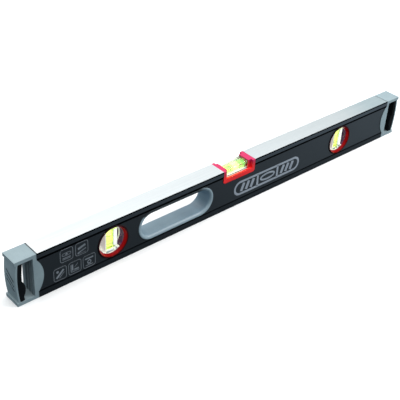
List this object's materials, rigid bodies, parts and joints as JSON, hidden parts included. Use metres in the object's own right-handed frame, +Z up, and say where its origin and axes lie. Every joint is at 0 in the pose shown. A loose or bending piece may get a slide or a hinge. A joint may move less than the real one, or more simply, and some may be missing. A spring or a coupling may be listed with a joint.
{
  "type": "spirit level",
  "caption": "Box-beam spirit level with a top level vial, two plumb vials, a lined hand slot and padded hook-shaped end caps.",
  "frame": {"origin": "middle of the base, on the lower measuring face's plane", "axes": "+X along the level towards the end away from the hand slot, front towards -Y, +Z up to the top measuring face"},
  "size_m": [0.6, 0.023, 0.056],
  "materials": {
    "anodised_beam": "dark anodised sides, bare milled measuring faces",
    "grey_plastic": "satin",
    "black_rubber": "matte",
    "red_plastic": "semi-gloss",
    "white_plastic": "satin",
    "clear_acrylic": "clear polished",
    "olive_plastic": "semi-gloss",
    "vial_liquid": "clear tinted liquid",
    "black_ring": "printed band",
    "bubble_air": "clear"
  },
  "bodies": {
    "level": {"beam": "anodised_beam", "left_end_cap": "grey_plastic", "right_end_cap": "grey_plastic", "left_cap_pad": "black_rubber", "right_cap_pad": "black_rubber", "slot_liner_front": "grey_plastic", "slot_liner_back": "grey_plastic", "level_vial_frame": "red_plastic", "level_vial_tray": "white_plastic", "level_vial_block": "clear_acrylic", "level_vial_plug": "olive_plastic", "level_vial_liquid": "vial_liquid", "level_vial_rings": "black_ring", "left_bezel_front": "red_plastic", "left_bezel_back": "red_plastic", "left_vial_carrier": "white_plastic", "left_vial_block": "clear_acrylic", "left_vial_plug": "olive_plastic", "left_vial_liquid": "vial_liquid", "left_vial_rings": "black_ring", "right_bezel_front": "red_plastic", "right_bezel_back": "red_plastic", "right_vial_carrier": "white_plastic", "right_vial_block": "clear_acrylic", "right_vial_plug": "olive_plastic", "right_vial_liquid": "vial_liquid", "right_vial_rings": "black_ring"},
    "level_bubble": {"level_bubble": "bubble_air"},
    "left_bubble": {"left_bubble": "bubble_air"},
    "right_bubble": {"right_bubble": "bubble_air"}
  },
  "joints": [
    {"name": "level_bubble_slide", "type": "slide", "parent": "level", "child": "level_bubble", "axis": [1, 0, 0], "range_m": [-0.0078, 0.0078], "stiffness_N_per_m": 4},
    {"name": "left_bubble_slide", "type": "slide", "parent": "level", "child": "left_bubble", "axis": [0, 0, 1], "range_m": [-0.0144, 0], "stiffness_N_per_m": 4, "springref_m": 0.006},
    {"name": "right_bubble_slide", "type": "slide", "parent": "level", "child": "right_bubble", "axis": [0, 0, 1], "range_m": [-0.0144, 0], "stiffness_N_per_m": 4, "springref_m": 0.006}
  ]
}
